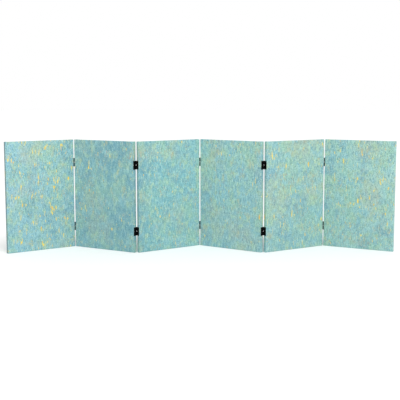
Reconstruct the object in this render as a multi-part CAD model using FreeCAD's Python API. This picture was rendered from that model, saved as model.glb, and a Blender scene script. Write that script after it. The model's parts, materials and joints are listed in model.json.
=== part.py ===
import FreeCAD, Part
import os

# A low folding screen: six canvas-covered panels that stand in a zigzag, joined by
# hinges that fold both ways. Lengths are in millimetres and angles in degrees. The
# viewer stands at -Y, X runs along the line between the two free ends, Z is up.

# Panels, and how far each seam stands folded about its front and its rear pins
panel_width = 400.0
panel_height = 600.0
panel_thickness = 20.0
first_panel_turn = 33.3
front_folds = (65.2, 0.0, 70.2, 0.0, 61.2)
rear_folds = (0.0, 65.7, 0.0, 67.4, 0.0)

# Wooden stretcher frame inside each panel
stile_width = 38.0
rail_width = 38.0
middle_rail_width = 32.0
middle_tenon_length = 22.0
tenon_share = 1 / 3
lip_width = 8.0
relief_depth = 2.0

# Canvas round each frame
canvas_thickness = 0.5
edge_radius = 1.0
hem_width = 30.0
back_canvas_inset = 2.0

# Staples through the hems
staple_crown = 10.0
staple_leg = 8.0
staple_wire = 0.9
staple_spacing = 90.0

# Double-action hinges, two at each seam
hinge_gap = 2.2
pin_proud = 2.0
knuckle_gap = 0.3
hinge_height = 46.0
window_height = 2.6
lower_hinge_middle = 115.0
upper_hinge_middle = 474.0
leaf_thickness = 0.4
leaf_corner_radius = 1.5
link_thickness = 0.7
barrel_radius = 2.2
pin_radius = 1.2
pin_stand = 0.4
pin_chamfer = 0.2
running_clearance = 0.05

# Countersunk screws through the leaves
screw_head_radius = 2.5
screw_head_height = 1.3
screw_shank_radius = 1.3
screw_length = 14.0
screw_tip_length = 3.0
recess_length = 2.8
recess_width = 0.6
recess_depth = 0.6
screw_height_shares = (-0.37, -0.14, 0.14, 0.37)
screw_depth_shares = (0.35, 0.65)

# How far a cutting shape runs past what it cuts
overrun = 1.0

# Where the frame lies inside its canvas, in the panel's own frame: origin at the
# foot of the front left corner, x along the width, y through the thickness
frame_left = canvas_thickness
frame_right = panel_width - canvas_thickness
frame_foot = canvas_thickness
frame_top = panel_height - canvas_thickness
frame_front = canvas_thickness
frame_rear = panel_thickness - 2 * canvas_thickness
hem_rear = panel_thickness - canvas_thickness

# Hinge sizes that follow from the gap and the panels
knuckle_reach = barrel_radius + knuckle_gap
pin_spacing = panel_thickness + 2 * pin_proud
half_height = (hinge_height - window_height) / 2
knuckle_pitch = half_height / 3
hinge_middles = (lower_hinge_middle, upper_hinge_middle)


def point(x, y, z):
    return FreeCAD.Vector(x, y, z)


def block(left, front, foot, right, rear, top):
    return Part.makeBox(right - left, rear - front, top - foot, point(left, front, foot))


def upright(radius, y, foot, top):
    return Part.makeCylinder(radius, top - foot, point(0, y, foot))


def one(shape):
    return shape.removeSplitter().Solids[0]


def place(x, y, z, turn):
    return FreeCAD.Placement(point(x, y, z), FreeCAD.Rotation(point(0, 0, 1), turn))


def placed(shape, where):
    copy = shape.copy()
    copy.Placement = where * copy.Placement
    return copy


def save(node, solids):
    Part.makeCompound(solids).exportStep(os.path.join("parts", node + ".step"))


# Where the panels and the hinge links stand. A link's own frame has its origin on
# the front pin line and y towards the rear pin line
def standing_places():
    panels = [place(0, 0, 0, first_panel_turn)]
    links = []
    for front_fold, rear_fold in zip(front_folds, rear_folds):
        front_pin = place(panel_width + hinge_gap / 2, -pin_proud, 0, -front_fold)
        rear_pin = place(0, pin_spacing, 0, rear_fold)
        next_corner = place(hinge_gap / 2, -panel_thickness - pin_proud, 0, 0)
        links.append(panels[-1] * front_pin)
        panels.append(links[-1] * rear_pin * next_corner)
    return panels, links


# The origin lies on the floor under the middle of the box round the screen
def middle_shift(panels, links):
    across = []
    through = []
    for panel in panels:
        for x in (0, panel_width):
            for y in (0, panel_thickness):
                corner = panel.multVec(point(x, y, 0))
                across.append(corner.x)
                through.append(corner.y)
    for link in links:
        for y in (0, pin_spacing):
            pin = link.multVec(point(0, y, 0))
            across += [pin.x - barrel_radius, pin.x + barrel_radius]
            through += [pin.y - barrel_radius, pin.y + barrel_radius]
    middle_x = (min(across) + max(across)) / 2
    middle_y = (min(through) + max(through)) / 2
    return place(-middle_x, -middle_y, 0, 0)


# Staples go through the hems into the back of the frame, their crowns sunk flush
def staple(x, z, turn):
    half_crown = staple_crown / 2
    half_wire = staple_wire / 2
    crown = block(-half_crown, hem_rear - staple_wire, -half_wire, half_crown, hem_rear, half_wire)
    inside = staple_wire - half_crown
    leg = block(-half_crown, hem_rear - staple_leg, -half_wire, inside, hem_rear, half_wire)
    other_leg = leg.translated(point(staple_crown - staple_wire, 0, 0))
    whole = one(crown.fuse([leg, other_leg]))
    whole.rotate(point(0, 0, 0), point(0, 1, 0), turn)
    whole.translate(point(x, 0, z))
    return whole


def spread(length):
    run = length - 2 * hem_width
    count = max(2, int(run // staple_spacing))
    return [hem_width + run * (step + 1 / 2) / count for step in range(count)]


def hem_staples():
    line = hem_width / 2
    upright_lines = (line, panel_width - line)
    level_lines = (line, panel_height - line)
    sides = [staple(x, z, 90) for x in upright_lines for z in spread(panel_height)]
    ends = [staple(x, z, 0) for z in level_lines for x in spread(panel_width)]
    return sides + ends


# Screws point along x, with their heads flush with the outer face of the leaf
def plain_screw():
    start = point(0, 0, 0)
    along = point(1, 0, 0)
    shank_end = screw_length - screw_tip_length
    tip_start = point(shank_end, 0, 0)
    head = Part.makeCone(screw_head_radius, screw_shank_radius, screw_head_height, start, along)
    shank = Part.makeCylinder(screw_shank_radius, shank_end, start, along)
    tip = Part.makeCone(screw_shank_radius, 0, screw_tip_length, tip_start, along)
    return one(head.fuse([shank, tip]))


def recessed_screw():
    half_length = recess_length / 2
    half_width = recess_width / 2
    level = block(-overrun, -half_length, -half_width, recess_depth, half_length, half_width)
    plumb = block(-overrun, -half_width, -half_length, recess_depth, half_width, half_length)
    return one(plain_screw().cut([level, plumb]))


left_edge = (-leaf_thickness, 0)
right_edge = (panel_width + leaf_thickness, 180)


def screws_in(edge, screw):
    x, turn = edge
    found = []
    for middle in hinge_middles:
        for number, share in enumerate(screw_height_shares):
            y = panel_thickness * screw_depth_shares[number % len(screw_depth_shares)]
            z = middle + hinge_height * share
            found.append(placed(screw, place(x, y, z, turn)))
    return found


# The stretcher frame: two stiles, and three rails with tenons in them. The top and
# bottom tenons run right through the stiles, and the middle ones stop inside
def frame_skin():
    envelope = block(frame_left, frame_front, frame_foot, frame_right, frame_rear, frame_top)
    return envelope.makeFillet(edge_radius - canvas_thickness, envelope.Edges)


def frame_pieces(cutters):
    inner_left = frame_left + stile_width
    inner_right = frame_right - stile_width
    depth = frame_rear - frame_front
    tenon_front = frame_front + depth * (1 - tenon_share) / 2
    tenon_rear = tenon_front + depth * tenon_share
    middle_foot = (panel_height - middle_rail_width) / 2
    rails_at = (
        (frame_foot, frame_foot + rail_width, stile_width),
        (middle_foot, middle_foot + middle_rail_width, middle_tenon_length),
        (frame_top - rail_width, frame_top, stile_width),
    )
    rails = []
    tenons = []
    for foot, top, reach in rails_at:
        tenon = block(inner_left - reach, tenon_front, foot, inner_right + reach, tenon_rear, top)
        body = block(inner_left, frame_front, foot, inner_right, frame_rear, top)
        tenons.append(tenon)
        rails.append(body.fuse(tenon))
    stiles = [
        block(frame_left, frame_front, frame_foot, inner_left, frame_rear, frame_top).cut(tenons),
        block(inner_right, frame_front, frame_foot, frame_right, frame_rear, frame_top).cut(tenons),
    ]
    relief = block(
        frame_left + lip_width,
        frame_front - overrun,
        frame_foot + lip_width,
        frame_right - lip_width,
        frame_front + relief_depth,
        frame_top - lip_width,
    )
    skin = frame_skin()
    stiles = [one(stile.cut([relief] + cutters).common(skin)) for stile in stiles]
    rails = [one(rail.cut([relief] + cutters).common(skin)) for rail in rails]
    return stiles, rails


# The front canvas is stretched over the face, turned round all four edges and
# hemmed onto the back. The back canvas lies over the hems
def front_canvas(cutters):
    outside = block(0, 0, 0, panel_width, hem_rear, panel_height)
    outside = outside.makeFillet(edge_radius, outside.Edges)
    window = block(
        hem_width,
        frame_rear - overrun,
        hem_width,
        panel_width - hem_width,
        hem_rear + overrun,
        panel_height - hem_width,
    )
    return one(outside.cut([frame_skin(), window] + cutters))


def back_canvas():
    inset = back_canvas_inset
    right = panel_width - inset
    top = panel_height - inset
    return block(inset, hem_rear, inset, right, panel_thickness, top)


# A leaf is a plate on a panel's edge, nearly as wide as the edge, with two knuckles in
# each half that stand proud of the panel. Its own frame has its origin on its pin line
# at mid-height, and y across the panel's edge
def leaf():
    bed = -hinge_gap / 2
    face = bed + leaf_thickness
    top = hinge_height / 2
    plate = block(bed, knuckle_reach, -top, face, pin_spacing - knuckle_reach, top)
    corners = [e for e in plate.Edges if abs(e.tangentAt(e.FirstParameter).x) > 1 / 2]
    corners = [e for e in corners if e.BoundBox.Center.y > pin_spacing / 2]
    plate = plate.makeFillet(leaf_corner_radius, corners)
    pieces = []
    for foot in (-top, window_height / 2):
        half_top = foot + half_height
        lower = (foot, foot + knuckle_pitch - knuckle_gap / 2)
        upper = (half_top - knuckle_pitch + knuckle_gap / 2, half_top)
        for low, high in (lower, upper):
            pieces.append(upright(barrel_radius, 0, low, high))
            pieces.append(block(bed, 0, low, face, pin_spacing / 2, high))
    bore = upright(pin_radius + running_clearance, 0, -top - overrun, top + overrun)
    return plate.fuse(pieces).cut(bore)


def leaves_on(edge):
    if edge == left_edge:
        x, y, turn = -hinge_gap / 2, panel_thickness + pin_proud, 180
    else:
        x, y, turn = panel_width + hinge_gap / 2, -pin_proud, 0
    holes = screws_in(edge, plain_screw())
    shape = leaf()
    return [one(placed(shape, place(x, y, middle, turn)).cut(holes)) for middle in hinge_middles]


# Each half of a hinge has a link between its front and its rear pin
def link(foot):
    top = foot + half_height
    low = foot + knuckle_pitch + knuckle_gap / 2
    high = top - knuckle_pitch - knuckle_gap / 2
    half_thickness = link_thickness / 2
    web = block(-half_thickness, knuckle_reach, foot, half_thickness, pin_spacing - knuckle_reach, top)
    bridge = block(-half_thickness, 0, low, half_thickness, pin_spacing, high)
    barrels = [upright(barrel_radius, y, low, high) for y in (0, pin_spacing)]
    bores = [upright(pin_radius, y, low, high) for y in (0, pin_spacing)]
    return one(web.fuse([bridge] + barrels).cut(bores))


def pin(foot, y):
    bar = upright(pin_radius, y, foot - pin_stand, foot + half_height + pin_stand)
    rims = [e for e in bar.Edges if e.isClosed()]
    return bar.makeChamfer(pin_chamfer, rims)


half_feet = []
for hinge_middle in hinge_middles:
    half_feet += [hinge_middle - hinge_height / 2, hinge_middle + window_height / 2]

os.makedirs("parts", exist_ok=True)
panels, links = standing_places()
shift = middle_shift(panels, links)

# Write the pieces of each panel where it stands
for number, panel in enumerate(panels, start=1):
    edges = []
    if number > 1:
        edges.append(left_edge)
    if number < len(panels):
        edges.append(right_edge)
    staples = hem_staples()
    screws = [s for edge in edges for s in screws_in(edge, recessed_screw())]
    screw_holes = [s for edge in edges for s in screws_in(edge, plain_screw())]
    stiles, rails = frame_pieces(staples + screw_holes)
    pieces = {
        "stiles": stiles,
        "rails": rails,
        "front_canvas": [front_canvas(staples + screw_holes)],
        "back_canvas": [back_canvas()],
        "staples": staples,
        "screws": screws,
    }
    for name, solids in pieces.items():
        save(f"panel_{number}_{name}", [placed(s, shift * panel) for s in solids])

# Write the pieces of each seam: its leaves stand with their panels
for number, link_place in enumerate(links, start=1):
    seam = f"hinge_{number}{number + 1}"
    left_panel = shift * panels[number - 1]
    right_panel = shift * panels[number]
    save(seam + "_left_leaves", [placed(s, left_panel) for s in leaves_on(right_edge)])
    save(seam + "_right_leaves", [placed(s, right_panel) for s in leaves_on(left_edge)])
    link_solids = [link(foot) for foot in half_feet]
    pin_solids = [pin(foot, y) for foot in half_feet for y in (0, pin_spacing)]
    save(seam + "_links", [placed(s, shift * link_place) for s in link_solids])
    save(seam + "_pins", [placed(s, shift * link_place) for s in pin_solids])
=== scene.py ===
import json
import math

import bmesh
import bpy
from mathutils import Matrix, Vector


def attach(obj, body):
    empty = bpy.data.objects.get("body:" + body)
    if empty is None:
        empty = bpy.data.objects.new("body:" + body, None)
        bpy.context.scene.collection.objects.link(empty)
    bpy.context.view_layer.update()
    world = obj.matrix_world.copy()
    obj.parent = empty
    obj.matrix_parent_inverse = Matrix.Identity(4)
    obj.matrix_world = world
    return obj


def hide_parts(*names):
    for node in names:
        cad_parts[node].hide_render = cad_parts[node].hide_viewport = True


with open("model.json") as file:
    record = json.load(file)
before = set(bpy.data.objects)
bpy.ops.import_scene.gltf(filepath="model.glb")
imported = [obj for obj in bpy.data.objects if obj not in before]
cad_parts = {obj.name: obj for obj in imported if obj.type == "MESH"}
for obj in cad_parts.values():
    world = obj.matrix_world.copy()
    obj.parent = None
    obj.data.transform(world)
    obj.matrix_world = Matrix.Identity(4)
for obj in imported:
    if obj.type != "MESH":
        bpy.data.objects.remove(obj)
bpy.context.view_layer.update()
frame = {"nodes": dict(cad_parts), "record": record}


# Stretcher frames: planed softwood, two stiles and three rails to each of the six
# panels, tenoned together. The canvas hides them on all sides
panel_numbers = range(1, 7)
ring_width = 0.007
ring_length = 0.16
fibres_to_a_ring = 6


def linear(red, green, blue):
    shares = [value / 255 for value in (red, green, blue)]
    return [s / 12.92 if s < 0.04045 else ((s + 0.055) / 1.055) ** 2.4 for s in shares] + [1]


def give(tree, socket, source):
    if isinstance(source, bpy.types.NodeSocket):
        tree.links.new(source, socket)
    else:
        socket.default_value = source


def add(tree, kind, inputs=None, **settings):
    made = tree.nodes.new("ShaderNode" + kind)
    for name, value in settings.items():
        setattr(made, name, value)
    for name, source in (inputs or {}).items():
        give(tree, made.inputs[name], source)
    return made


def blended(tree, factor, first, second):
    node = add(tree, "Mix", data_type="RGBA")
    sockets = {socket.identifier: socket for socket in node.inputs}
    give(tree, sockets["Factor_Float"], factor)
    give(tree, sockets["A_Color"], first)
    give(tree, sockets["B_Color"], second)
    return next(socket for socket in node.outputs if socket.identifier == "Result_Color")


# Noise whose blotches are of the given size in metres
def noise(tree, place, size, start, detail=2.0, roughness=0.5, distortion=0.0):
    scale = [1 / length for length in size]
    spot = add(tree, "VectorMath", {0: place, 1: scale, 2: start}, operation="MULTIPLY_ADD")
    inputs = {
        "Vector": spot.outputs[0],
        "Scale": 1.0,
        "Detail": detail,
        "Roughness": roughness,
        "Distortion": distortion,
    }
    return add(tree, "TexNoise", inputs).outputs[0]


# A value that goes smoothly from 0 to top as the given one goes from low to high
def ranged(tree, value, low, high, top=1.0):
    inputs = {"Value": value, "From Min": low, "From Max": high, "To Max": top}
    return add(tree, "MapRange", inputs, interpolation_type="SMOOTHSTEP").outputs[0]


def new_material(name, **fixed):
    material = bpy.data.materials.new(name)
    material.use_nodes = True
    shader = material.node_tree.nodes["Principled BSDF"]
    for socket, value in fixed.items():
        shader.inputs[socket.replace("_", " ")].default_value = value
    return material, material.node_tree, shader


def finish_node(node, material):
    mesh = frame["nodes"][node].data
    mesh.materials.clear()
    mesh.materials.append(material)


def softwood(name, ring_size):
    material, tree, shader = new_material(name, Roughness=0.62, Specular_IOR_Level=0.3)
    place = add(tree, "TexCoord").outputs["Object"]
    rings = noise(tree, place, ring_size, (3, 1, 7), detail=3.0, distortion=0.6)
    fibre_size = [length / fibres_to_a_ring for length in ring_size]
    fibres = noise(tree, place, fibre_size, (9, 4, 2))
    late_wood = ranged(tree, rings, 0.35, 0.68)
    colour = blended(tree, late_wood, linear(214, 184, 140), linear(176, 132, 84))
    give(tree, shader.inputs["Base Color"], colour)
    bump = add(tree, "Bump", {"Height": fibres, "Strength": 0.3, "Distance": 0.0004})
    give(tree, shader.inputs["Normal"], bump.outputs[0])
    return material


upright_wood = softwood("upright_wood", (ring_width, ring_width, ring_length))
level_wood = softwood("level_wood", (ring_length, ring_length, ring_width))
for number in panel_numbers:
    finish_node(f"panel_{number}_stiles", upright_wood)
    finish_node(f"panel_{number}_rails", level_wood)


# Front canvas: woven cotton with a matt print, stretched over the face of the frame,
# turned round all four edges and hemmed onto the back. At the corners the surplus is
# folded flat onto the top and bottom edges
cloth_thickness = 0.0005
cloth_hem = 0.03
cloth_edge_radius = 0.001
cut_edge_radius = cloth_thickness / 3
cloth_columns = 40
cloth_rows = 60
crease_angle = math.radians(35)
touching = 0.00001


# Where a panel stands: on the floor at its foot, turned one way or the other so that
# the six make a zigzag. A panel's own frame has its origin in the middle of the foot,
# x along the width, y from the face towards the back and z up
def standing(number):
    mounts = {mount["name"]: mount for mount in frame["record"]["mounts"]}
    foot = mounts[f"panel_{number}_foot"]["pos_m"]
    sheet = frame["nodes"][f"panel_{number}_back_canvas"].data
    normal = max(sheet.polygons, key=lambda face: face.area).normal
    if normal.y < 0:
        normal = -normal
    turn = math.atan2(-normal.x, normal.y)
    return Matrix.Translation(foot) @ Matrix.Rotation(turn, 4, "Z")


# The lowest and highest corner of a node of the first panel, in that panel's own frame
def measured(node):
    back = standing(1).inverted()
    corners = [back @ vertex.co for vertex in frame["nodes"][node].data.vertices]
    low = Vector(min(corner[axis] for corner in corners) for axis in range(3))
    high = Vector(max(corner[axis] for corner in corners) for axis in range(3))
    return low, high


canvas_low, canvas_high = measured("panel_1_front_canvas")
panel_width = canvas_high.x - canvas_low.x
panel_height = canvas_high.z
half_width = panel_width / 2
canvas_front = canvas_low.y
canvas_rear = canvas_high.y
canvas_depth = canvas_rear - canvas_front


def arithmetic(tree, operation, *values):
    return add(tree, "Math", dict(enumerate(values)), operation=operation).outputs[0]


def ramp(tree, factor, stops):
    node = add(tree, "ValToRGB", {0: factor})
    elements = node.color_ramp.elements
    elements.remove(elements[1])
    for number, (position, colour) in enumerate(stops):
        element = elements[0] if number == 0 else elements.new(position)
        element.position = position
        element.color = colour
    return node.outputs["Color"]


def node_group(name, inputs, outputs):
    group = bpy.data.node_groups.new(name, "ShaderNodeTree")
    for socket, kind in inputs.items():
        group.interface.new_socket(socket, in_out="INPUT", socket_type="NodeSocket" + kind)
    for socket, kind in outputs.items():
        group.interface.new_socket(socket, in_out="OUTPUT", socket_type="NodeSocket" + kind)
    given = group.nodes.new("NodeGroupInput").outputs
    result = group.nodes.new("NodeGroupOutput").inputs
    return group, given, result


def use_group(tree, group, inputs):
    node = add(tree, "Group", node_tree=group)
    for name, source in inputs.items():
        give(tree, node.inputs[name], source)
    return node.outputs


# Threads that pass over and under each other, a little uneven along their length
def threads_group():
    inputs = {"Place": "Vector", "Pitch": "Float"}
    outputs = {"Height": "Float", "Slubs": "Float"}
    group, given, result = node_group("woven_threads", inputs, outputs)
    slubs = noise(group, given["Place"], (0.004, 0.012, 1), (5, 2, 0))
    spot = add(group, "SeparateXYZ", {0: given["Place"]})
    waves = []
    for axis in ("X", "Y"):
        threads = arithmetic(group, "DIVIDE", spot.outputs[axis], given["Pitch"])
        half_turns = arithmetic(group, "MULTIPLY", threads, math.pi)
        waves.append(arithmetic(group, "SINE", half_turns))
    crossing = arithmetic(group, "MULTIPLY", *waves)
    height = arithmetic(group, "MULTIPLY_ADD", crossing, slubs, 0.5)
    give(group, result["Height"], height)
    give(group, result["Slubs"], slubs)
    return group


# Width over which the painted shade on the free left edge of the first panel comes in
end_shade_width = 0.002


# The print is a plain weathered paint in turquoise that runs on over all six panels, with
# painted shade laid over it towards the foot and on the free left edge. Its place is that on
# the cloth laid flat: X along the screen and Y up from the foot
def paint_group():
    inputs = {"Place": "Vector", "Length": "Float"}
    outputs = {"Color": "Color", "Relief": "Float"}
    group, given, result = node_group("weathered_paint_and_shade", inputs, outputs)
    place = given["Place"]
    spot = add(group, "SeparateXYZ", {0: place})
    along = arithmetic(group, "DIVIDE", spot.outputs["X"], given["Length"])

    # Blotches on the flat cloth, of the given width and height
    def mottle(size, start, detail=2.0, roughness=0.5, distortion=0.0):
        return noise(group, place, (*size, 1), (*start, 0), detail, roughness, distortion)

    # A thin lay of paint. It starts where the blotches reach low, and where they reach
    # high it hides the given share of what is under it
    def lay(under, tint, blotches, low, high, share, broken=None):
        cover = ranged(group, blotches, low, high, share)
        if broken:
            cover = arithmetic(group, "MULTIPLY", cover, broken)
        return blended(group, cover, under, linear(*tint))

    # The ground drifts between pale and deep turquoise, at shares of the whole length
    ground = (
        (0.0, linear(152, 205, 221)),
        (0.13, linear(143, 194, 201)),
        (0.2, linear(106, 162, 179)),
        (0.31, linear(94, 156, 174)),
        (0.38, linear(120, 187, 194)),
        (0.6, linear(140, 196, 205)),
        (0.75, linear(142, 189, 185)),
        (1.0, linear(165, 216, 213)),
    )
    colour = ramp(group, along, ground)

    # Large drifts of green, blue and sand
    green = mottle((0.13, 0.2), (2, 8), 4.0, 0.65)
    colour = lay(colour, (160, 206, 172), green, 0.46, 0.6, 0.6)
    blue = mottle((0.1, 0.16), (13, 3), 4.0, 0.65)
    colour = lay(colour, (104, 160, 184), blue, 0.5, 0.64, 0.6)
    sand = mottle((0.2, 0.24), (52, 33))
    colour = lay(colour, (202, 194, 150), sand, 0.48, 0.68, 0.34)

    # Smaller blotches over them, light and dark
    blue = mottle((0.05, 0.08), (61, 4), 4.0, 0.65)
    colour = lay(colour, (138, 196, 208), blue, 0.5, 0.64, 0.75)
    green = mottle((0.03, 0.05), (33, 14), 4.0, 0.65)
    colour = lay(colour, (176, 210, 172), green, 0.5, 0.64, 0.75)
    light = mottle((0.012, 0.024), (7, 21), 5.0, 0.75)
    colour = lay(colour, (186, 228, 220), light, 0.48, 0.66, 0.6)
    dark = mottle((0.01, 0.021), (23, 5), 5.0, 0.75)
    colour = lay(colour, (88, 134, 148), dark, 0.5, 0.68, 0.6)

    # Fine upright brush strokes on a grain
    strokes = mottle((0.0032, 0.036), (4, 9), 3.0, 0.65)
    grain = mottle((0.0044, 0.0072), (18, 2), 3.0, 0.75)
    rough = arithmetic(group, "ADD", strokes, grain)
    colour = lay(colour, (200, 234, 224), rough, 0.98, 1.3, 0.8)
    colour = lay(colour, (76, 122, 138), rough, 1.02, 0.7, 0.8)

    # The second panel is calmer: a thin glaze evens it out
    glaze = ranged(group, along, 0.38, 0.31, 0.25)
    glaze = arithmetic(group, "MULTIPLY", glaze, ranged(group, along, 0.14, 0.2))
    colour = blended(group, glaze, colour, linear(126, 175, 178))

    # Worn straw-coloured patches, rusty streaks in places, and small dark specks
    broken = ranged(group, grain, 0.35, 0.6)
    straw = mottle((0.036, 0.072), (41, 11), 4.0, 0.65)
    colour = lay(colour, (200, 192, 134), straw, 0.54, 0.7, 0.6, broken)
    patches = ranged(group, mottle((0.1, 0.15), (27, 9)), 0.5, 0.6)
    broken_patches = arithmetic(group, "MULTIPLY", broken, patches)
    rust = mottle((0.0056, 0.024), (15, 37), 4.0, 0.65)
    colour = lay(colour, (184, 146, 112), rust, 0.54, 0.66, 0.8, broken_patches)
    specks = mottle((0.0048, 0.008), (29, 19), 3.0, 0.6)
    colour = lay(colour, (44, 76, 86), specks, 0.6, 0.7, 0.9)

    # Flecks of gold, most of them on the first panel and some on the last two
    streaks = mottle((0.009, 0.045), (3, 47), 3.0, 0.5, 0.8)
    crowd = mottle((0.05, 0.07), (71, 16), 3.0, 0.6)
    at_left = ranged(group, along, 0.25, 0.14, 0.067)
    at_right = ranged(group, along, 0.62, 0.7, 0.037)
    crowd = arithmetic(group, "MULTIPLY_ADD", crowd, 0.5, at_left)
    crowd = arithmetic(group, "ADD", crowd, at_right)
    flecks = arithmetic(group, "ADD", crowd, streaks)
    flecks = ranged(group, flecks, 0.968, 0.983)
    kinds = mottle((0.012, 0.03), (8, 28))
    golds = (
        (0.0, linear(214, 138, 84)),
        (0.34, linear(240, 184, 66)),
        (0.44, linear(252, 226, 96)),
    )
    colour = blended(group, flecks, colour, ramp(group, kinds, golds))

    # Painted shade: the colour darkens towards the foot, as if less light reached the lower
    # part. Past the print's left end, on the free edge of the first panel, it runs out into
    # dark teal painted shade
    colour = lay(colour, (88, 128, 134), spot.outputs["Y"], panel_height, 0.0, 0.16)
    # Painted shade on the free left edge of the first panel, standing in for the shade that
    # edge is in
    colour = lay(colour, (48, 62, 66), spot.outputs["X"], 0.0, -end_shade_width, 0.5)
    give(group, result["Color"], colour)
    give(group, result["Relief"], arithmetic(group, "ADD", rough, flecks))
    return group


woven_threads = threads_group()
weathered_paint_and_shade = paint_group()
thread_pitch = 0.0008
panel_gap = 0.0022
panel_pitch = panel_width + panel_gap
print_length = len(panel_numbers) * panel_pitch


# The threads show faintly through the paint as bumps, with painted shade darkening the
# hollows between them, and the light has faded it on some cloths
def printed_cloth(name, faded=None):
    fixed = {"Specular_IOR_Level": 0.25, "Sheen_Weight": 0.1, "Sheen_Roughness": 0.5}
    material, tree, shader = new_material(name, **fixed)
    place = add(tree, "UVMap", uv_map="cloth").outputs[0]
    threads = use_group(tree, woven_threads, {"Place": place, "Pitch": thread_pitch})
    paint = use_group(tree, weathered_paint_and_shade, {"Place": place, "Length": print_length})
    # Painted shade: where the threads dip, the colour is darkened towards deep teal as if
    # shade lay in the hollows
    hollow_shade = ranged(tree, threads["Height"], 0.45, 0.1, 0.16)
    colour = blended(tree, hollow_shade, paint["Color"], linear(90, 126, 134))
    if faded:
        colour = blended(tree, faded, colour, linear(205, 214, 204))
    give(tree, shader.inputs["Base Color"], colour)
    roughness = {"Value": threads["Slubs"], "To Min": 0.72, "To Max": 0.88}
    give(tree, shader.inputs["Roughness"], add(tree, "MapRange", roughness).outputs[0])
    relief = arithmetic(tree, "MULTIPLY_ADD", paint["Relief"], 0.3, threads["Height"])
    bump = add(tree, "Bump", {"Height": relief, "Strength": 0.35, "Distance": 0.0002})
    give(tree, shader.inputs["Normal"], bump.outputs[0])
    return material


def pick(piece):
    bpy.ops.object.select_all(action="DESELECT")
    piece.select_set(True)
    bpy.context.view_layer.objects.active = piece


def apply_place(piece):
    pick(piece)
    bpy.ops.object.transform_apply(location=True, rotation=True, scale=True)


def start_edit(piece):
    pick(piece)
    bpy.ops.object.mode_set(mode="EDIT")
    bpy.ops.mesh.select_all(action="DESELECT")


def end_edit():
    bpy.ops.object.mode_set(mode="OBJECT")


def choose_edges(piece, wanted):
    shape = bmesh.from_edit_mesh(piece.data)
    for edge in shape.edges:
        ends = [vertex.co for vertex in edge.verts]
        edge.select_set(wanted(*ends))
    shape.select_flush_mode()
    bmesh.update_edit_mesh(piece.data)


def near(first, second):
    return abs(first - second) < touching


# Whether a point lies on an end, on the foot or top, and on the face or back of the
# canvas. A line that shares two of the three runs along an edge of the panel
def sides_met(spot):
    at_end = near(abs(spot.x), half_width)
    at_level = near(spot.z, 0) or near(spot.z, panel_height)
    at_face = near(spot.y, canvas_front) or near(spot.y, canvas_rear)
    return at_end, at_level, at_face


def along_panel_edge(first, second):
    shared = [a and b for a, b in zip(sides_met(first), sides_met(second))]
    return sum(shared) == 2


def stretched_cloth():
    bpy.ops.object.select_all(action="DESELECT")
    bpy.ops.mesh.primitive_grid_add(
        x_subdivisions=cloth_columns,
        y_subdivisions=cloth_rows,
        size=1,
        calc_uvs=False,
        location=(0, canvas_front, panel_height / 2),
        rotation=(math.radians(90), 0, 0),
    )
    cloth = bpy.context.object
    cloth.scale = (panel_width, panel_height, 1)
    apply_place(cloth)
    start_edit(cloth)
    bpy.ops.mesh.select_mode(type="EDGE")
    bpy.ops.mesh.select_non_manifold()
    bpy.ops.mesh.extrude_region_move(TRANSFORM_OT_translate={"value": (0, canvas_depth, 0)})
    bpy.ops.mesh.extrude_region_move(TRANSFORM_OT_translate={"value": (0, 0, 0)})
    hem_scale = (1 - 2 * cloth_hem / panel_width, 1, 1 - 2 * cloth_hem / panel_height)
    back_middle = (0, canvas_rear, panel_height / 2)
    bpy.ops.transform.resize(value=hem_scale, center_override=back_middle)
    choose_edges(cloth, along_panel_edge)
    bpy.ops.mesh.bevel(offset=cloth_edge_radius, segments=3, affect="EDGES")
    bpy.ops.mesh.select_all(action="SELECT")
    bpy.ops.mesh.normals_make_consistent(inside=False)
    end_edit()
    solidify = cloth.modifiers.new("thickness", "SOLIDIFY")
    solidify.thickness = cloth_thickness
    solidify.offset = -1
    bpy.ops.object.modifier_apply(modifier=solidify.name)
    return cloth


# The surplus at a corner is folded into a flat three-cornered flap. Side is -1 at the
# left and 1 at the right, level is 0 at the foot and 1 at the top
def corner_flap(side, level):
    corner = Vector((side * half_width, canvas_front, level * panel_height))
    outward = 1 if level else -1
    inset = cloth_edge_radius
    length = canvas_depth - inset
    lift = outward * cloth_thickness / 2
    middle = corner + Vector((-side * (inset + length / 2), canvas_depth / 2, lift))
    bpy.ops.object.select_all(action="DESELECT")
    bpy.ops.mesh.primitive_cube_add(size=1, calc_uvs=False, location=middle)
    flap = bpy.context.object
    flap.scale = (length, canvas_depth - 2 * inset, cloth_thickness)
    apply_place(flap)
    start_edit(flap)
    bpy.ops.mesh.select_all(action="SELECT")
    bpy.ops.mesh.bisect(
        plane_co=corner + Vector((-side * inset, 2 * inset, 0)),
        plane_no=Vector((side, 1, 0)).normalized(),
        use_fill=True,
        clear_inner=True,
    )
    bpy.ops.mesh.select_all(action="SELECT")
    bpy.ops.mesh.normals_make_consistent(inside=False)
    bpy.ops.mesh.bevel(offset=cut_edge_radius, segments=2, affect="EDGES")
    end_edit()
    return flap


# How far in a point lies from the left, right, bottom and top edge of its panel
def insets(spot):
    return half_width + spot.x, half_width - spot.x, spot.z, panel_height - spot.z


# The UV map holds where a point of the wrapped cloth lay before it was wrapped. Each
# face belongs to the edge that it is nearest to, and is turned over there
def unfold(piece, shift):
    mesh = piece.data
    places = mesh.uv_layers.new(name="cloth").data
    for face in mesh.polygons:
        gaps = insets(face.center)
        side = gaps.index(min(gaps))
        for loop in face.loop_indices:
            spot = mesh.vertices[mesh.loops[loop].vertex_index].co
            inward = insets(spot)[side]
            depth = spot.y - canvas_front
            run = depth + inward if depth > canvas_depth / 2 else depth - inward
            across = half_width + spot.x
            up = spot.z
            if side == 0:
                across = -run
            elif side == 1:
                across = panel_width + run
            elif side == 2:
                up = -run
            else:
                up = panel_height + run
            places[loop].uv = (across + shift, up)


def smooth(piece):
    pick(piece)
    bpy.ops.object.shade_smooth_by_angle(angle=crease_angle)


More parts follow.
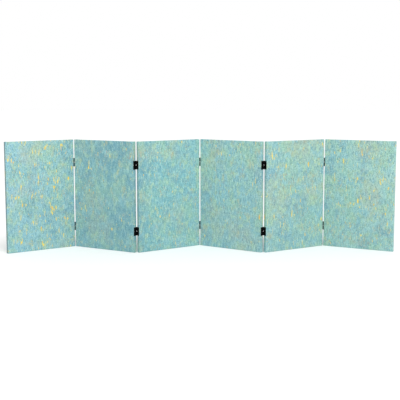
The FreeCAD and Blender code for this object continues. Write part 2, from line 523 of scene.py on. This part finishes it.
# A copy at its own panel, with the print moved on to that panel's share of it
def copied(piece, name, number, material):
    copy = bpy.data.objects.new(name, piece.data.copy())
    bpy.context.scene.collection.objects.link(copy)
    for loop in copy.data.uv_layers["cloth"].data:
        loop.uv.x += (number - 1) * panel_pitch
    copy.data.transform(standing(number))
    copy.data.materials.append(material)
    return copy


# What shows on a flap is cloth from beside the corner, so its print is moved along
flap_print_shift = -0.04
front_cloth = stretched_cloth()
unfold(front_cloth, 0.0)
flaps = [corner_flap(side, level) for side in (-1, 1) for level in (0, 1)]
for flap in flaps:
    unfold(flap, flap_print_shift)
pick(front_cloth)
for flap in flaps:
    flap.select_set(True)
bpy.ops.object.join()
smooth(front_cloth)

printed_canvas = printed_cloth("printed_canvas")
for number in panel_numbers:
    cloth = copied(front_cloth, f"panel_{number}_front_cloth", number, printed_canvas)
    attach(cloth, f"panel_{number}")
    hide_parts(f"panel_{number}_front_canvas")
bpy.data.objects.remove(front_cloth)


# Back canvas: a second printed cloth with its edges turned under, glued over the hems
# of the front one, so that the screen can be seen from both sides. The double edge
# stands a little proud of the field
backing_low, backing_high = measured("panel_1_back_canvas")
backing_size = backing_high - backing_low
backing_hem = 0.008
hem_step = 0.00015
field_cuts = 20
backing_print_shift = 3.1


def on_outline(spot):
    at_end = near(abs(spot.x), backing_high.x)
    return at_end or near(spot.z, backing_low.z) or near(spot.z, backing_high.z)


def along_outline(first, second):
    return on_outline(first) and on_outline(second)


bpy.ops.object.select_all(action="DESELECT")
backing_middle = (backing_low + backing_high) / 2
bpy.ops.mesh.primitive_cube_add(size=1, calc_uvs=False, location=backing_middle)
backing = bpy.context.object
backing.scale = backing_size
apply_place(backing)
start_edit(backing)
bpy.ops.mesh.select_mode(type="FACE")
shape = bmesh.from_edit_mesh(backing.data)
for face in shape.faces:
    face.select_set(face.normal.y > 0.5)
bmesh.update_edit_mesh(backing.data)
bpy.ops.mesh.inset(thickness=backing_hem - hem_step, depth=0)
bpy.ops.mesh.inset(thickness=hem_step, depth=0)
bpy.ops.transform.translate(value=(0, -hem_step, 0))
bpy.ops.mesh.subdivide(number_cuts=field_cuts)
bpy.ops.mesh.select_mode(type="EDGE")
choose_edges(backing, along_outline)
bpy.ops.mesh.bevel(offset=cut_edge_radius, segments=2, affect="EDGES")
end_edit()
unfold(backing, backing_print_shift)
smooth(backing)

back_canvas = printed_cloth("back_canvas", faded=0.06)
for number in panel_numbers:
    cloth = copied(backing, f"panel_{number}_back_cloth", number, back_canvas)
    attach(cloth, f"panel_{number}")
    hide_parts(f"panel_{number}_back_canvas")
bpy.data.objects.remove(backing)


# Staples: galvanised wire, driven through the hems into the back of the frame until
# their crowns lie flush
bloom_size = 0.003
galvanised, tree, shader = new_material("galvanised_wire", Metallic=1.0)
place = add(tree, "TexCoord").outputs["Object"]
bloom = noise(tree, place, [bloom_size] * 3, (1, 5, 2), 3.0, 0.6)
colour = blended(tree, bloom, linear(176, 178, 180), linear(206, 208, 208))
give(tree, shader.inputs["Base Color"], colour)
give(tree, shader.inputs["Roughness"], ranged(tree, bloom, 0.2, 1.3))
for number in panel_numbers:
    finish_node(f"panel_{number}_staples", galvanised)


# Hinges: pressed steel with a black powder coat, two at each seam. Their leaves are
# screwed to the panel edges, and a link between the two pins lets them fold both ways
seams = ("12", "23", "34", "45", "56")


# The coat is pebbled and a little smeared, and it is rubbed thin on the edges
def coat_group():
    inputs = {"Place": "Vector", "Rubbed": "Float"}
    outputs = {"Color": "Color", "Roughness": "Float", "Height": "Float"}
    group, given, result = node_group("powder_coat", inputs, outputs)
    place = given["Place"]
    pebbles = noise(group, place, (0.0007, 0.0007, 0.0007), (8, 3, 5), 3.0, 0.55)
    smears = noise(group, place, (0.006, 0.006, 0.012), (2, 6, 1), 3.0, 0.6)
    rounded = add(group, "Bevel", {"Radius": 0.0004}, samples=4).outputs[0]
    flat = add(group, "NewGeometry").outputs["Normal"]
    alike = add(group, "VectorMath", {0: rounded, 1: flat}, operation="DOT_PRODUCT")
    worn = ranged(group, alike.outputs["Value"], 0.985, 0.9)
    worn = arithmetic(group, "MULTIPLY", worn, ranged(group, smears, 0.45, 0.62))
    worn = arithmetic(group, "MULTIPLY", worn, given["Rubbed"])
    colour = blended(group, smears, linear(8, 8, 8), linear(13, 13, 14))
    colour = blended(group, worn, colour, linear(64, 64, 66))
    rough = arithmetic(group, "MULTIPLY_ADD", smears, 0.25, 0.42)
    rough = arithmetic(group, "MULTIPLY_ADD", worn, -0.1, rough)
    give(group, result["Color"], colour)
    give(group, result["Roughness"], rough)
    give(group, result["Height"], pebbles)
    return group


powder_coat = coat_group()


def black_steel(name, rubbed):
    material, tree, shader = new_material(name, Specular_IOR_Level=0.06)
    place = add(tree, "TexCoord").outputs["Object"]
    coat = use_group(tree, powder_coat, {"Place": place, "Rubbed": rubbed})
    give(tree, shader.inputs["Base Color"], coat["Color"])
    give(tree, shader.inputs["Roughness"], coat["Roughness"])
    bump = add(tree, "Bump", {"Height": coat["Height"], "Strength": 0.25, "Distance": 0.0001})
    give(tree, shader.inputs["Normal"], bump.outputs[0])
    return material


hinge_black = black_steel("hinge_black", 0.5)
pin_black = black_steel("pin_black", 0.9)
for seam in seams:
    for piece in ("left_leaves", "right_leaves", "links"):
        finish_node(f"hinge_{seam}_{piece}", hinge_black)
    finish_node(f"hinge_{seam}_pins", pin_black)


# Screws: countersunk steel wood screws with a cross recess and a black coat, four to a
# leaf, driven through the leaf and the canvas into the stile
screw_black = black_steel("screw_black", 0.7)
for number in panel_numbers:
    finish_node(f"panel_{number}_screws", screw_black)


# Floor, light and camera: a white sweep in soft light that comes mostly from above and
# from the front, seen from a little above the screen. The floor lies under the flaps
# of the cloth
floor_size = 60
tone_size = 2.0
bpy.ops.object.select_all(action="DESELECT")
bpy.ops.mesh.primitive_plane_add(size=floor_size, location=(0, 0, -cloth_thickness))
floor = bpy.context.object
floor.name = "floor"
apply_place(floor)
pale_paint, tree, shader = new_material("pale_floor", Roughness=0.9, Specular_IOR_Level=0.1)
place = add(tree, "TexCoord").outputs["Object"]
tone = noise(tree, place, [tone_size] * 3, (0, 0, 0))
colour = blended(tree, tone, linear(246, 246, 246), linear(250, 250, 250))
give(tree, shader.inputs["Base Color"], colour)
floor.data.materials.append(pale_paint)


# A broad lamp that shines from the given place towards the middle of the floor
def soft_lamp(name, strength, place, spread):
    light = bpy.data.lights.new(name, "SUN")
    light.energy = strength
    light.angle = math.radians(spread)
    holder = bpy.data.objects.new(name, light)
    bpy.context.scene.collection.objects.link(holder)
    holder.location = place
    holder.rotation_euler = (-Vector(place)).to_track_quat("-Z", "X").to_euler()


soft_lamp("key_lamp", 2.0, (0.7, -3.0, 4.3), 40)
soft_lamp("fill_lamp", 0.15, (-0.2, 3.2, 4.0), 50)

# The sweep is lit at 0.6 and seen by the camera at full white
sweep_strength = 0.6
world = bpy.data.worlds.new("white_studio")
world.use_nodes = True
bpy.context.scene.world = world
studio = world.node_tree
background = studio.nodes["Background"]
seen = add(studio, "LightPath").outputs["Is Camera Ray"]
strength = arithmetic(studio, "MULTIPLY_ADD", seen, 1 - sweep_strength, sweep_strength)
give(studio, background.inputs["Color"], linear(255, 255, 255))
give(studio, background.inputs["Strength"], strength)
bpy.context.scene.view_settings.view_transform = "Standard"

camera_tilt = math.radians(90 - 7.253)
camera_turn = math.radians(-1.65)
lens = bpy.data.cameras.new("camera")
lens.lens = 78.57
lens.sensor_width = 36
lens.clip_end = 100
camera = bpy.data.objects.new("camera", lens)
bpy.context.scene.collection.objects.link(camera)
camera.location = (-0.14185, -4.7702, 0.87925)
camera.rotation_euler = (camera_tilt, 0, camera_turn)
bpy.context.scene.camera = camera
